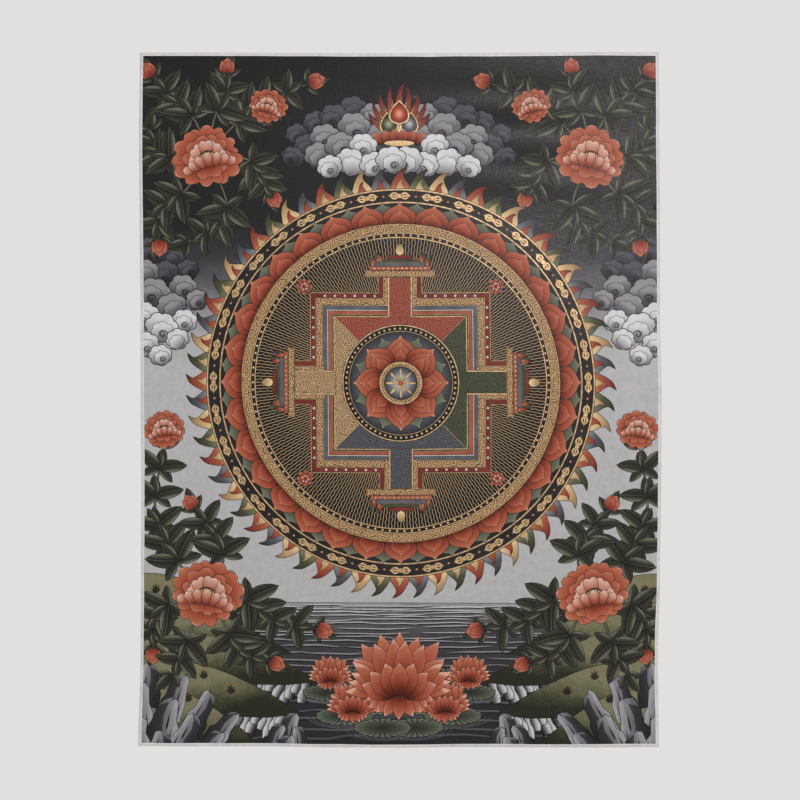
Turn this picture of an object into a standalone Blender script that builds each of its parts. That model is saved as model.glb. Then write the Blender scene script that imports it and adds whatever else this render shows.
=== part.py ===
"""Thangka scroll painting: one sheet of primed and painted cotton, hanging from its top edge.

Metres, +Z up. The painted face looks along -Y, and the origin is the middle of the top edge,
halfway through the cloth. The cloth was cut free of its stretcher by hand, so each edge strays a
little from its straight line, and the priming has left a few shallow ridges and troughs.
"""

import bisect
import math

import bmesh
import bpy

MM = 0.001

# Driving sizes
CLOTH_WIDTH = 450 * MM
CLOTH_HEIGHT = 600 * MM
CLOTH_THICKNESS = 1 * MM

# Squares of 15 mm, small enough to follow the narrowest ridge
COLUMNS = 30
ROWS = 40

PAINTED_COTTON_COLOUR = (0.055, 0.05, 0.047, 1.0)
PAINTED_COTTON_ROUGHNESS = 0.55

# How far the two side edges stray outwards from their straight lines
SIDE_EDGES = (
    # share of the height down, left edge out (mm), right edge out (mm)
    (0.000, 0.3, -0.9),
    (0.125, 1.0, -0.5),
    (0.250, 0.6, 0.1),
    (0.375, -0.2, -0.1),
    (0.500, -0.3, 1.3),
    (0.625, -1.1, 1.0),
    (0.750, -0.9, 0.0),
    (0.875, -0.5, -1.6),
    (1.000, 1.3, -1.2),
)

# The same for the top and bottom edges. The top edge dips in the middle.
END_EDGES = (
    # share of the width across, top edge out (mm), bottom edge out (mm)
    (0.000, 0.8, -1.1),
    (0.125, 0.9, -0.5),
    (0.250, 0.4, -0.3),
    (0.375, 0.2, 0.5),
    (0.500, 0.0, 0.9),
    (0.625, 0.3, 0.2),
    (0.750, 0.7, 0.7),
    (0.875, 1.1, 0.7),
    (1.000, 1.0, 0.0),
)

# Soft ridges (forward) and troughs (back) in the primed cloth, each an oval hump
SWELLS = (
    # across (mm from middle), down (mm), reach along (mm), reach over (mm), turned (deg), forward (mm)
    (95, 38, 110, 17, 2, 1.6),
    (105, 70, 100, 16, 3, -1.4),
    (110, 105, 95, 18, 4, 1.5),
    (-120, 60, 120, 45, -12, 1.4),
    (-205, 210, 150, 30, 88, -1.8),
    (60, 250, 170, 90, 20, 1.2),
    (212, 335, 120, 26, 90, 1.9),
    (-60, 400, 160, 60, -18, -1.3),
    (-214, 470, 90, 24, 86, 1.7),
    (170, 520, 120, 45, 24, -1.5),
    (-30, 592, 150, 18, 0, 1.6),
    (-222, 598, 60, 42, 45, 3.2),
    (222, 598, 55, 40, -45, 2.6),
)


def smooth_between(table, share, column):
    """Reads a column of an edge table at any share, easing from one row to the next."""
    shares = [row[0] for row in table]
    upper = min(max(bisect.bisect_right(shares, share), 1), len(table) - 1)
    before, after = table[upper - 1], table[upper]
    way = (share - before[0]) / (after[0] - before[0])
    eased = way * way * (3 - 2 * way)
    return before[column] + (after[column] - before[column]) * eased


def forward_of_flat(across, down):
    """How far the cloth stands forward of a flat sheet, in mm, at a place in mm."""
    forward = 0.0
    for middle, depth, along, over, turned, height in SWELLS:
        turn = math.radians(turned)
        right, below = across - middle, down - depth
        lengthwise = right * math.cos(turn) + below * math.sin(turn)
        crosswise = below * math.cos(turn) - right * math.sin(turn)
        forward += height * math.exp(-((lengthwise / along) ** 2) - (crosswise / over) ** 2)
    return forward


def place_on_cloth(share_across, share_down):
    """Where a place on the flat cloth lies once the cloth is cut and hung."""
    left_out = smooth_between(SIDE_EDGES, share_down, 1) * MM
    right_out = smooth_between(SIDE_EDGES, share_down, 2) * MM
    top_out = smooth_between(END_EDGES, share_across, 1) * MM
    bottom_out = smooth_between(END_EDGES, share_across, 2) * MM
    left, right = -CLOTH_WIDTH / 2 - left_out, CLOTH_WIDTH / 2 + right_out
    top, bottom = top_out, -CLOTH_HEIGHT - bottom_out
    x = left + (right - left) * share_across
    z = top + (bottom - top) * share_down
    forward = forward_of_flat(x / MM, -z / MM) - forward_of_flat(0, 0)
    return x, -forward * MM, z


def painted_cotton():
    """Distemper on primed cotton: dark overall, and nearly matt."""
    material = bpy.data.materials.new("painted_cotton")
    material.use_nodes = True
    shader = material.node_tree.nodes["Principled BSDF"]
    shader.inputs["Base Color"].default_value = PAINTED_COTTON_COLOUR
    shader.inputs["Roughness"].default_value = PAINTED_COTTON_ROUGHNESS
    shader.inputs["Metallic"].default_value = 0.0
    return material


def build_cloth():
    """The one sheet: a grid laid to the cut edges and the swells, then given its thickness."""
    shape = bmesh.new()
    bmesh.ops.create_grid(shape, x_segments=COLUMNS, y_segments=ROWS, size=0.5)
    for vertex in shape.verts:
        vertex.co = place_on_cloth(vertex.co.x + 0.5, 0.5 - vertex.co.y)
    mesh = bpy.data.meshes.new("painted_cloth")
    shape.to_mesh(mesh)
    shape.free()
    mesh.shade_smooth()
    cloth = bpy.data.objects.new("painted_cloth", mesh)
    bpy.context.scene.collection.objects.link(cloth)
    cloth.data.materials.append(painted_cotton())
    thickness = cloth.modifiers.new("thickness", "SOLIDIFY")
    thickness.thickness = CLOTH_THICKNESS
    thickness.offset = 0.0
    return cloth


for leftover in list(bpy.data.objects):
    bpy.data.objects.remove(leftover)

build_cloth()
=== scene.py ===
import math
import random
from functools import partial

import bmesh
import bpy
from mathutils import Matrix, Vector
from mathutils.bvhtree import BVHTree
from mathutils.geometry import delaunay_2d_cdt


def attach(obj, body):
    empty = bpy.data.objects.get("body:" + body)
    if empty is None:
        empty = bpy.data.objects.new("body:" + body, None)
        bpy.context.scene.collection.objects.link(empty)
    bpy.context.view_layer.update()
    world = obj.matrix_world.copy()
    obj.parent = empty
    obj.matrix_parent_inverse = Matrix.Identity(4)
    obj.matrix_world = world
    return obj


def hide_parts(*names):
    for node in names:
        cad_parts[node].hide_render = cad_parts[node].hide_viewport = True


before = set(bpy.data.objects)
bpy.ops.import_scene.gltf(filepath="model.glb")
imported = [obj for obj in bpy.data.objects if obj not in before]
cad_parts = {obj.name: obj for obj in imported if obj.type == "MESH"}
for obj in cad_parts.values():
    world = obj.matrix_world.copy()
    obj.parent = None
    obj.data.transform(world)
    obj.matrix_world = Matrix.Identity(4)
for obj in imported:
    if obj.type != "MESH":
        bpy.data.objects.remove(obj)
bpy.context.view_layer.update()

# ----------------------------------------
# Bare cloth. Cotton primed on both sides with chalk in hide glue and burnished with a shell, so
# the threads only just show. A strip of it stays bare round the painting, where it was laced to
# its stretcher. Sizes are in millimetres, across from the middle and up from the top edge.

MM = 0.001
CLOTH_WIDE = 450
CLOTH_HIGH = 600

THREAD_APART = 1.25  # real cotton has a thread every 0.7 mm, too fine to show at this distance
SLUB_LONG = 9  # over this length a thread swells and thins again
THREAD_RELIEF = 0.09
BRUSH_MARK = 5  # a few strokes together, because a real one alone is too fine to show
BRUSH_STREAK = 0.07  # the share by which a brush mark is lighter or darker
NOISE_RANGE = (0.3, 0.7)  # where most of a noise lies
RUBBED = 0.08  # how much smoother paint is on the crown of a thread than beside it
CROWNS = (0.35, 0.75)  # the height of the weave between its threads and on their crowns
SHEEN = 0.08  # paint bound with glue has little of the shine of a varnish


def linear(colour):
    """An sRGB hex colour as Blender's linear red, green, blue and alpha."""
    parts = [int(colour[k:k + 2], 16) / 255 for k in (1, 3, 5)]
    return (*[p / 12.92 if p <= 0.04045 else ((p + 0.055) / 1.055) ** 2.4 for p in parts], 1.0)


def add_node(material, kind, *inputs, stops=None, **named):
    """Adds a node with its inputs, in their order or by name, its settings and its ramp colours,
    and gives its first output. A setting that brings in a socket stands before it."""
    made = material.node_tree.nodes.new("ShaderNode" + kind)
    sockets = dict(enumerate(inputs))
    for name, value in named.items():
        if name in made.inputs:
            sockets[name] = value
        else:
            setattr(made, name, value)
    for socket, value in sockets.items():
        if isinstance(value, bpy.types.NodeSocket):
            material.node_tree.links.new(value, made.inputs[socket])
        else:
            made.inputs[socket].default_value = value
    if stops:
        ramp = made.color_ramp.elements
        ramp.remove(ramp[1])
        ramp[0].position = stops[0][0]
        ramp[0].color = linear(stops[0][1])
        for position, colour in stops[1:]:
            ramp.new(position).color = linear(colour)
    return made.outputs[0]


def cloth_place(add):
    """Where a point lies on the hanging cloth, in metres."""
    return add("TexCoord").node.outputs["Object"]


def streaked(add, place, often, detail):
    """Noise drawn out into streaks, with how often it changes along each axis."""
    run = add("VectorMath", place, often, operation="MULTIPLY")
    return add("TexNoise", Vector=run, Scale=1.0, Detail=detail)


def weave(add):
    """Uneven threads that run down and across the cotton, high where one lies over another."""
    down = (1 / (THREAD_APART * MM), 1, 1 / (SLUB_LONG * MM))
    threads = [streaked(add, cloth_place(add), often, 2.0) for often in (down, down[::-1])]
    return add("Math", *threads, operation="MAXIMUM")


def distemper(name, drawing, *stops, roughness=0.36, metallic=0.0):
    """Mineral colour in hide glue on the primed cotton. The drawing gives a tone from a shape's
    own across and up, and the stops give the colour of each tone. Brush marks lighten and darken
    it, and the threads show through as relief."""
    material = bpy.data.materials.new(name)
    material.use_nodes = True
    add = partial(add_node, material)
    own = add("SeparateXYZ", add("UVMap", uv_map="shape")).node.outputs
    colour = add("ValToRGB", drawing(add, own["X"], own["Y"]), stops=stops)
    marks = add("TexNoise", Vector=cloth_place(add), Scale=1 / (BRUSH_MARK * MM), Detail=5.0)
    strength = add("MapRange", marks, *NOISE_RANGE, 1 - BRUSH_STREAK, 1 + BRUSH_STREAK)
    woven = weave(add)
    shader = material.node_tree.nodes["Principled BSDF"].inputs
    for socket, value in (
        ("Base Color", add("VectorMath", colour, operation="SCALE", Scale=strength)),
        ("Roughness", add("MapRange", woven, *CROWNS, roughness + RUBBED, roughness - RUBBED)),
        ("Normal", add("Bump", Height=woven, Distance=THREAD_RELIEF * MM)),
    ):
        material.node_tree.links.new(value, shader[socket])
    shader["Metallic"].default_value = metallic
    shader["Specular IOR Level"].default_value = SHEEN
    return material


def flat_wash(name, dark, light, patch=16, **finish):
    """One colour laid flat, thinner in some patches than in others."""

    def patches(add, across, up):
        return add("TexNoise", Vector=cloth_place(add), Scale=1 / (patch * MM), Detail=3.0)

    return distemper(name, patches, (0.35, dark), (0.65, light), **finish)


# Burnished chalk ground: an even warm white, greyer where hands have held it
primed_cotton = flat_wash("burnished_chalk_priming", "#bebebe", "#c9c8c6", roughness=0.6)

# ----------------------------------------
# Ground wash. The first paint on the priming, dry-brushed as one even change of tone: charcoal at
# the top, slate below it, and pale grey from the middle of the cloth down.

MARGIN = 2.7
MARGIN_WANDERS = 0.25
MARGIN_STEP = 25
TRIM = 1.3  # paint is cut off here, inside the bare margin
INK_LINE = 0.5
TOUCHING = 0.05  # points of an outline nearer to each other than this are one
SHARPEST = 0.9  # keeps the ink at a pointed tip from running far past it
WASH_PATCH = 22.2
WASH_DRIFT = 12  # how far up or down the change of tone strays from patch to patch

layers = []  # each shape's outline, its paint and the way back to its own units, lowest first


def spot(across, up, lean=0.0, wide=1.0, high=None):
    """Where a shape lies: its foot, its lean anticlockwise in degrees, its width and its height."""
    high = wide if high is None else high
    turned = Matrix.Rotation(math.radians(lean), 4, "Z")
    return Matrix.Translation((across, up, 0)) @ turned @ Matrix.Diagonal((wide, high, 1, 1))


def laid_at(place, x, y):
    """Where a drawn point lies once its shape is at its place."""
    return (place @ Vector((x, y, 0))).to_2d()


def grown(outline, by):
    """The outline moved outwards by a distance, as an ink line round a shape needs."""
    moved = []
    for k, point in enumerate(outline):
        before = (point - outline[k - 1]).normalized()
        after = (outline[(k + 1) % len(outline)] - point).normalized()
        out = Vector((before.y + after.y, -before.x - after.x))
        moved.append(point + out * (2 * by / max(out.length, SHARPEST) ** 2))
    return moved


def trimmed(outline):
    """The part of an outline that lies on the cloth, inside the bare margin."""
    wide, high = CLOTH_WIDE / 2 - TRIM, CLOTH_HIGH - TRIM
    for out, reach in (((1, 0), wide), ((-1, 0), wide), ((0, 1), -TRIM), ((0, -1), high)):
        kept = []
        for k, point in enumerate(outline):
            before = outline[k - 1]
            beyond, beyond_before = point.dot(out) - reach, before.dot(out) - reach
            if (beyond > 0) != (beyond_before > 0):
                kept.append(before.lerp(point, beyond_before / (beyond_before - beyond)))
            if beyond <= 0:
                kept.append(point)
        outline = kept
    return outline


def lay(outline, paint, place, line=INK_LINE, liner=None):
    """Lays a shape of paint over what is there, with a line of ink showing round it."""
    flat = []
    for x, y in outline:
        point = laid_at(place, x, y)
        if not flat or (point - flat[-1]).length > TOUCHING:
            flat.append(point)
    if (flat[0] - flat[-1]).length < TOUCHING:
        flat.pop()
    if sum(flat[k - 1].cross(flat[k]) for k in range(len(flat))) < 0:
        flat.reverse()
    own = place.inverted_safe()
    for shape, colour in ((grown(flat, line), liner or ink), (flat, paint)):
        shape = trimmed(shape)
        if len(shape) > 2 and (line or colour is paint):
            layers.append((shape, colour, own))


def round_the_cloth(step, inset=0.0, wander=0.0):
    """Points a step apart round the flat cloth, anticlockwise, inset from its edges."""
    points = []
    middle = Vector((0, -CLOTH_HIGH / 2))
    for corner, (run, out) in enumerate(((CLOTH_WIDE, CLOTH_HIGH), (CLOTH_HIGH, CLOTH_WIDE)) * 2):
        turned = Matrix.Rotation(math.radians(90 * corner), 2)
        steps = round(run / step)
        for k in range(steps):
            along = (run / 2 - inset) * (2 * k / steps - 1)
            strayed = inset + random.uniform(-wander, wander)
            points.append(turned @ Vector((along, strayed - out / 2)) + middle)
    return points


def down_the_cloth(add, across, up):
    """How far down the cloth a point is, as a share of its height, drifting a little."""
    place = cloth_place(add)
    soft = add("TexNoise", Vector=place, Scale=1 / (WASH_PATCH * MM), Detail=4.0)
    drift = add("MapRange", soft, 0.0, 1.0, -WASH_DRIFT * MM, WASH_DRIFT * MM)
    height = add("SeparateXYZ", place).node.outputs["Z"]
    down = add("Math", drift, height, operation="SUBTRACT")
    return add("Math", down, CLOTH_HIGH * MM, operation="DIVIDE")


def graded_wash(name, *stops, **finish):
    """Paint that changes down the cloth, with its stops given in mm below the top edge."""
    shares = [(depth / CLOTH_HIGH, colour) for depth, colour in stops]
    return distemper(name, down_the_cloth, *shares, **finish)


# Lamp black and chalk: smooth, and shiniest where it is darkest
ground = graded_wash(
    "lamp_black_and_chalk_wash",
    (0, "#1f1f20"), (150, "#202022"), (178, "#353438"), (203, "#57575b"),
    (221, "#7c7c80"), (247, "#9a9a9c"), (273, "#a3a3a5"), (480, "#a0a0a1"),
    roughness=0.3,
)
# Lamp black in a fine brush: the line round every shape
ink = flat_wash("lamp_black_line", "#171616", "#1f1d1e", roughness=0.3)

random.seed(7)
lay(round_the_cloth(MARGIN_STEP, MARGIN, MARGIN_WANDERS), ground, spot(0, 0), line=0)
FIELD = len(layers)  # what lies outside this first shape is bare margin

# ----------------------------------------
# Clouds. Banks of lobed heads over the mandala and at both sides of it, the near ones painted over
# the far ones. Each is flat chalk and lamp black, shaded to black at its foot and in its curl.

CURL_LOW = 0.26  # in radii of a head, like the two below
CURL_PITCH = 0.34
CURL_REACH = 0.46
SIDES = (spot(0, 0), spot(0, 0, 0, -1, 1))  # as drawn for the right of the cloth, and mirrored


def disc(radius=1.0, points=20):
    turns = [math.tau * k / points for k in range(points)]
    return [(radius * math.cos(turn), radius * math.sin(turn)) for turn in turns]


def lobed(lobes, steps, depth, power=1.0):
    """A round outline, 2 across, with a rim of lobes drawn in a few steps each."""
    outline = []
    for k, (x, y) in enumerate(disc(1.0, lobes * steps)):
        reach = 1 - depth + depth * abs(math.sin(math.pi * k / steps)) ** power
        outline.append((reach * x, reach * y))
    return outline


def toned(add, tone, *parts):
    """A tone with other tones added to it, each in a share of its own."""
    for part, share in parts:
        tone = add("Math", part, share, tone, operation="MULTIPLY_ADD")
    return tone


def reach_out(add, across, up):
    """Shading outwards from a shape's own middle: how far a point lies from it."""
    out = add("CombineXYZ", across, up)
    return add("VectorMath", out, operation="LENGTH").node.outputs["Value"]


def spiral(add, x, y, pitch):
    """A ramp from 0 to 1 that winds round a middle: once in a turn, and once in each pitch out."""
    angle = add("Math", y, x, operation="ARCTAN2")
    wound = toned(add, 0.0, (angle, 1 / math.tau), (reach_out(add, x, y), 1 / pitch))
    return add("Math", wound, operation="FRACT")


def curled(hollow):
    """A head of cloud, light along its top, with a spiral hollow of a given radius low in it."""

    def shading(add, across, up):
        low = add("Math", up, CURL_LOW, operation="ADD")
        wound = spiral(add, across, low, CURL_PITCH)
        outside = add("MapRange", reach_out(add, across, low), hollow - 0.08, hollow)
        wound = add("Math", wound, outside, operation="MAXIMUM")
        body = add("MapRange", up, -0.8, 0.5, 0.4, 1.0)
        return add("Math", wound, body, operation="MULTIPLY")

    return shading


def cloud_paint(name, *stops):
    """One paint for heads with a curl in them, and the same for plain heads."""
    curls = ((name + "_curled", CURL_REACH), (name, 0.0))
    return [distemper(name, curled(hollow), *stops) for name, hollow in curls]


# Chalk white shaded with lamp black: dry and soft, the far clouds darker than the near ones
white_cloud = cloud_paint(
    "chalk_white_shaded_with_black",
    (0.05, "#1c1c1e"), (0.4, "#6a6a6c"), (0.75, "#a2a2a4"), (1.0, "#bfbfc0"),
)
grey_cloud = cloud_paint(
    "grey_shaded_with_black",
    (0.1, "#19191b"), (0.45, "#3f3f42"), (0.8, "#636367"), (1.0, "#818185"),
)
slate_cloud = cloud_paint(
    "slate_shaded_with_black",
    (0.15, "#19191b"), (0.5, "#28282b"), (0.85, "#3a3a40"), (1.0, "#4a4a51"),
)

HEAD = lobed(7, 5, 0.14, 0.8)
BANKS = (
    # paint, then across, up and radius of each head: over the mandala first, then at its side
    (slate_cloud, (88, -70, 9), (72, -60, 10), (40, -48, 11), (56, -56, 12)),
    (grey_cloud, (22, -54, 11), (7, -56, 10)),
    (slate_cloud, (80, -80, 10)),
    (grey_cloud, (64, -73, 12), (39, -64, 13)),
    (slate_cloud, (92, -90, 9)),
    (grey_cloud, (70, -88, 11), (51, -80, 12), (14, -72, 13)),
    (white_cloud, (31, -80, 11), (42, -94, 12), (60, -98, 10), (22, -96, 11), (7, -92, 12)),
    (slate_cloud, (196, -178, 10), (214, -172, 12), (184, -188, 9), (204, -192, 12)),
    (grey_cloud, (221, -190, 11), (188, -203, 11), (213, -208, 13), (176, -214, 9)),
    (grey_cloud, (198, -220, 12)),
    (white_cloud, (222, -228, 12), (187, -232, 10), (207, -238, 13), (193, -248, 9)),
    (white_cloud, (221, -253, 11), (208, -262, 9)),
)

heads = [(*head, paints) for paints, *bank in BANKS for head in bank]
for side in SIDES:
    for k, (across, up, radius, (with_curl, plain)) in enumerate(heads):
        head = side @ spot(across, up, 9 * (k % 5 - 2), -radius * 1.12, radius)
        front = head @ spot(0.14 * (k % 3 - 1), -0.24, 25, 0.68)
        lay(HEAD, plain, head, line=0.7)
        lay(HEAD, plain if k % 4 == 2 else with_curl, front, line=0.4)

# ----------------------------------------
# Land and water. Tongues of turf in dulled malachite run out from both sides over a black river
# drawn with long ripples, with banks of pale rock under their tips and crags in the corners.

HORIZON = -476
WATER_ROWS = 24
RIPPLE_STEPS = 12
TURF_STROKES = (1 / (1.11 * MM), 1, 1 / (3.85 * MM))  # a stroke is 1.11 wide and 3.85 long
TURF_PATCH = 25
ROCK_STREAKS = (9.0, 1.5, 1.0)  # in the width and the height of a rock
OFF_CLOTH = 226  # how far from the middle a shape starts that runs in from the edge
BANK_STONES = 16
CHIPPED = 0.03  # how far a corner of a rock strays, as a share of the rock
TAPER_POWER = 3  # keeps the width of a stroke until near its ends

# Chalk and lamp black, dragged out from grey at the horizon to black at the foot of the cloth
river_black = graded_wash(
    "lamp_black_dragged_over_grey",
    (476, "#86868a"), (486, "#58585c"), (505, "#3a3a3d"), (545, "#29292c"), (600, "#232326"),
    roughness=0.32,
)
# Chalk in a fine brush, greyer towards the foot, and the black shadow under it
ripple_light = graded_wash(
    "chalk_ripple_line", (480, "#b4b4b6"), (505, "#8f8f92"), (540, "#5f5f63"), (590, "#47474b")
)
ripple_dark = flat_wash("lamp_black_ripple_line", "#1c1c1e", "#272729", roughness=0.32)


def curve(points, steps=4):
    """A smooth line through points, from the first to the last."""
    ends = [Vector(p) for p in (points[0], *points, points[-1])]
    line = []
    for a, b, c, d in zip(ends, ends[1:], ends[2:], ends[3:]):
        for k in range(steps):
            t = k / steps
            bend = (2 * a - 5 * b + 4 * c - d) * t * t + (3 * b - a - 3 * c + d) * t ** 3
            line.append(b + ((c - a) * t + bend) / 2)
    line.append(ends[-1])
    return [tuple(point) for point in line]


def blade(belly=0.45, fullness=0.8, bend=0.0, steps=8):
    """A leaf or petal with its foot at 0, 0, its tip at bend, 1, and its widest part at belly."""
    power = math.log(0.5) / math.log(belly)
    right, left = [], []
    for k in range(steps + 1):
        t = k / steps
        half = 0.5 * max(math.sin(math.pi * t ** power), 0) ** fullness
        right.append((bend * t * t + half, t))
        left.append((bend * t * t - half, t))
    return right + left[-2:0:-1]


def box(left, low, right, high):
    return [(left, low), (right, low), (right, high), (left, high)]


def brush_line(route, width, paint, place, taper=0.7):
    """One stroke of a fine brush along a route, thinning towards both ends."""
    points = [laid_at(place, x, y) for x, y in route]
    right, left = [], []
    last = len(points) - 1
    for k, point in enumerate(points):
        along = (points[min(k + 1, last)] - points[max(k - 1, 0)]).normalized()
        half = width / 2 * (1 - taper * abs(2 * k / last - 1) ** TAPER_POWER)
        side = Vector((along.y, -along.x)) * half
        right.append(point + side)
        left.append(point - side)
    lay(right + left[::-1], paint, Matrix(), line=0)


def ripple(across, up, long, sag):
    """One ripple: a pale line that thins to its ends, with its shadow under it."""
    route = []
    for step in range(RIPPLE_STEPS + 1):
        share = step / RIPPLE_STEPS
        wave = math.sin(math.pi * share) + math.sin(step) / 5
        route.append((across + long * (share - 0.5), up + sag * wave))
    deep = 0.8 + (HORIZON - up) / 110
    brush_line([(x, y - deep) for x, y in route], 1.2 * deep, ripple_dark, Matrix(), taper=0.95)
    brush_line(route, 0.85 * deep, ripple_light, Matrix(), taper=0.95)


def turfed(add, across, up):
    """Turf, light along its upper edge and dark under the next tongue, in short upright strokes."""
    strokes = streaked(add, cloth_place(add), TURF_STROKES, 1.0)
    soft = add("TexNoise", Vector=cloth_place(add), Scale=1 / (TURF_PATCH * MM))
    return toned(add, up, (strokes, 0.3), (soft, 0.5), (across, -0.35))


def lit_from_side(rise):
    """Shading from a shape's right edge to its left, and by a share of the height also upwards."""

    def shading(add, across, up):
        streak = streaked(add, add("CombineXYZ", across, up), ROCK_STREAKS, 1.0)
        return toned(add, 0.35, (streak, 0.3), (across, -1.0), (up, rise))

    return shading


# Malachite dulled with black: a soft moss green in short strokes, never bright
turf_green = distemper(
    "dulled_malachite",
    turfed,
    (0.357, "#25261d"), (0.536, "#3c3d2c"), (0.714, "#5a5a43"), (0.893, "#6e6d54"),
)
# Chalk and lamp black: the lit faces of the rocks, their faces in shade, and the banks
rock_face = distemper(
    "chalk_and_black_shaded",
    lit_from_side(0.35),
    (0.25, "#29292c"), (0.55, "#4d4d51"), (0.85, "#727277"), (1.0, "#8c8c90"),
)
rock_shade = distemper(
    "lamp_black_shaded", lit_from_side(0.3), (0.0, "#1a1a1c"), (0.5, "#2b2b2e"), (0.9, "#47474b")
)
bank_white = distemper(
    "chalk_white_shaded",
    lit_from_side(0.25),
    (0.2, "#1b1b1d"), (0.5, "#505053"), (0.75, "#8e8e91"), (1.0, "#b6b6b8"),
)
# Single touches of a fine brush: green tufts that are nearly black, with red seeds
grass_ink = flat_wash("malachite_in_lamp_black", "#1c1f18", "#292d22")
grass_red = flat_wash("red_lead_dots", "#8a4330", "#a55a41")

TURF = curve([(0, 1), (0.2, 0.98), (0.45, 0.84), (0.72, 0.5), (0.9, 0.2), (1.0, 0.03)])
TURF += [(0.8, -0.04), (0.5, -0.02), (0, 0)]
TONGUES = (
    # up of its foot, height, reach
    (-497, 46, 96), (-521, 45, 132), (-545, 45, 158), (-573, 48, 142), (-606, 56, 112),
)
STONE = curve([(0.5, 0), (0.42, 0.3), (0.58, 0.6), (0.5, 1)], 3)
STONE += curve([(-0.5, 1), (-0.36, 0.6), (-0.6, 0.3), (-0.5, 0)], 3)
FACE = [(-0.5, 0), (0.1, 0), (0.02, 0.34), (0.09, 0.62), (0.0, 0.9)]
FACE += [(-0.14, 1.0), (-0.3, 0.9), (-0.34, 0.56), (-0.46, 0.4)]
SHADE = [(0.06, 0), (0.5, 0), (0.48, 0.34), (0.36, 0.46)]
SHADE += [(0.34, 0.74), (0.18, 0.9), (-0.1, 0.98), (0.0, 0.4)]
LEDGE = [(-0.1, 0.98), (0.02, 0.9), (0.32, 0.76), (0.2, 0.93)]
ROCKS = (
    # across, up, lean, width, height
    (220, -566, 6, 24, 38), (200, -576, 18, 22, 40), (226, -588, 0, 28, 42),
    (182, -590, 28, 21, 42), (208, -600, 14, 27, 44), (164, -600, 38, 19, 38),
    (190, -606, 24, 24, 36), (228, -608, 4, 26, 34), (170, -610, 34, 21, 28),
    (210, -612, 16, 24, 26), (98, -600, 12, 19, 30), (112, -604, 24, 17, 26),
    (84, -606, -8, 17, 24), (99, -612, 8, 22, 22),
)
CRACK = blade(0.3, 1.0, bend=0.5, steps=4)
CRACKS = ((-0.3, 0.0, 0.4), (-0.12, 0.3, 0.45), (-0.06, 0.0, 0.22))  # across, foot, height
GRASS = ((212, -468), (170, -542), (146, -555), (183, -562), (128, -520))  # across, up
GRASS_BLADE = blade(0.35, 0.7, bend=0.3, steps=4)
TUFT = ((48, 6), (-50, 6), (24, 8), (-22, 8.5), (2, 9))  # lean and height of each blade


def worn(outline):
    """An outline of rock with each corner moved a little, so that no two are just alike."""
    return [
        (x + random.uniform(-CHIPPED, CHIPPED), y + random.uniform(-CHIPPED, CHIPPED))
        for x, y in outline
    ]


def rock(place):
    """A crag with one face in the light, one in shade, and cracks down the lit one."""
    lay(worn(SHADE), rock_shade, place, line=0.6)
    lay(worn(FACE), rock_face, place)
    lay(worn(LEDGE), rock_face, place, line=0.3)
    for across, foot, high in CRACKS:
        lay(CRACK, ink, place @ spot(across, foot, 0, 0.07, high), line=0)


lay(box(-CLOTH_WIDE / 2, -CLOTH_HIGH, CLOTH_WIDE / 2, HORIZON), river_black, spot(0, 0))
random.seed(5)
for row in range(WATER_ROWS):
    nearness = row / WATER_ROWS
    up = HORIZON - 2 - 40 * nearness - 82 * nearness ** 2
    across = -250 - random.uniform(0, 40)
    while across < 240:
        long = random.uniform(38, 62) * (1 + 0.8 * nearness)
        lift = random.uniform(-0.7, 0.7)
        ripple(across + long / 2, up + lift, long, random.choice((-1, 1)) * (0.6 + nearness))
        across += long * random.uniform(0.72, 1.1)
for side in SIDES:
    for number, (foot, high, reach) in enumerate(TONGUES):
        for k in range(BANK_STONES if number > 1 else 0):
            share = 0.36 + 0.036 * k
            deep = 12 + 6 * math.sin(1.7 * k) + 8 * share
            lean = random.uniform(8, 22)
            stone = side @ spot(OFF_CLOTH - reach * share, foot + 4 - deep, lean, -8.5, deep)
            lay(STONE, bank_white, stone, line=0.6)
        lay(TURF, turf_green, side @ spot(OFF_CLOTH, foot, 0, -reach, high))
    for across, up in GRASS:
        for lean, high in TUFT:
            stalk = side @ spot(across, up, lean, math.copysign(2, lean), high)
            lay(GRASS_BLADE, grass_ink, stalk, line=0)
            lay(disc(0.09, 6), grass_red, stalk @ spot(0.3, 1, 0, 4.5, 1), line=0)
    for k, (across, up, lean, wide, high) in enumerate(ROCKS):
        rock(side @ spot(across, up, lean, math.copysign(wide, k % 3 - 0.5), high))

# ----------------------------------------
# Lotus pool. Five open lotuses in the river, with scalloped leaves flat on the water round them, in
# vermilion and in malachite let down with black and white.

PAD_RIBS = 26  # two to each scallop of the rim


def both_sides(side):
    """An outline with its right side given from foot to tip, and its left side the mirror of it."""
    return side + [(-x, y) for x, y in reversed(side)]


def from_foot(sides=0.0):
    """Shading from a shape's foot to its tip, and with sides also out to its two edges."""

    def shading(add, across, up):
        edge = add("Math", across, across, operation="MULTIPLY")
        return toned(add, up, (edge, 4 * sides))

    return shading


def spokes(add, across, up, count, sway=0.0):
    """How far round from the nearest of a count of spokes, as a share of the gap between two."""
    angle = add("Math", up, across, operation="ARCTAN2")
    turns = toned(add, sway, (angle, count / math.tau))
    return add("Math", turns, 0.5, operation="PINGPONG")


def ribbed(add, across, up):
    """A leaf seen from above, with ribs from its middle and a pale rim."""
    out, rib = reach_out(add, across, up), spokes(add, across, up, PAD_RIBS)
    return toned(add, 0.0, (out, 0.6), (rib, 0.8))


# Vermilion with a glaze of lac at the foot: each petal glows at its tip and sinks to brown below
lotus_red = distemper(
    "vermilion_shaded_with_lac",
    from_foot(sides=0.16),
    (0.0, "#35110c"), (0.28, "#61271b"), (0.6, "#8e4531"), (0.88, "#a15f48"), (1.0, "#c69482"),
)
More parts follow.
